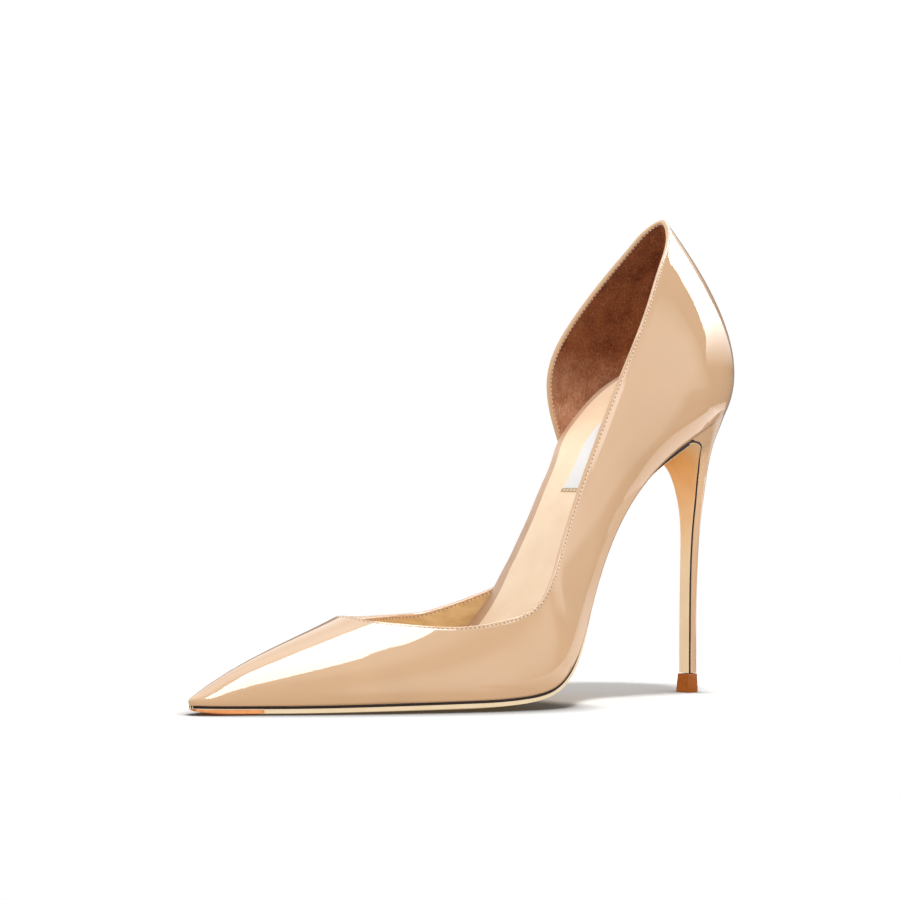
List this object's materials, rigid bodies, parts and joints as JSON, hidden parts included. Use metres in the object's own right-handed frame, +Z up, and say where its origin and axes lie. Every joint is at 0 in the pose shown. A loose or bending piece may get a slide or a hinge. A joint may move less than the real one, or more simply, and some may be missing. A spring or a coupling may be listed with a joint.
{
  "type": "high heel",
  "caption": "Left pointed-toe pump with a tall slim heel, a hollow patent upper and an inner side cut away between vamp and heel cup.",
  "frame": {"origin": "middle of the shoe's box, on the floor that it stands on", "axes": "+X towards the toe, +Y towards the outer side of the left foot, +Z up"},
  "size_m": [0.222, 0.072, 0.1622],
  "materials": {
    "patent_leather": "nude patent leather, high gloss",
    "sole_leather": "pale sole leather with a dark painted edge",
    "tap_rubber": "tan rubber, matt",
    "insole_leather": "leather-wrapped board edge, satin",
    "sock_leather": "smooth cream lining leather, satin",
    "heel_cover": "nude patent leather over a hard heel, high gloss",
    "top_piece_rubber": "brown rubber, matt"
  },
  "bodies": {
    "root": {"upper": "patent_leather", "outsole": "sole_leather", "toe_tap": "tap_rubber", "insole": "insole_leather", "sock": "sock_leather", "heel": "heel_cover", "top_piece": "top_piece_rubber"}
  },
  "joints": []
}
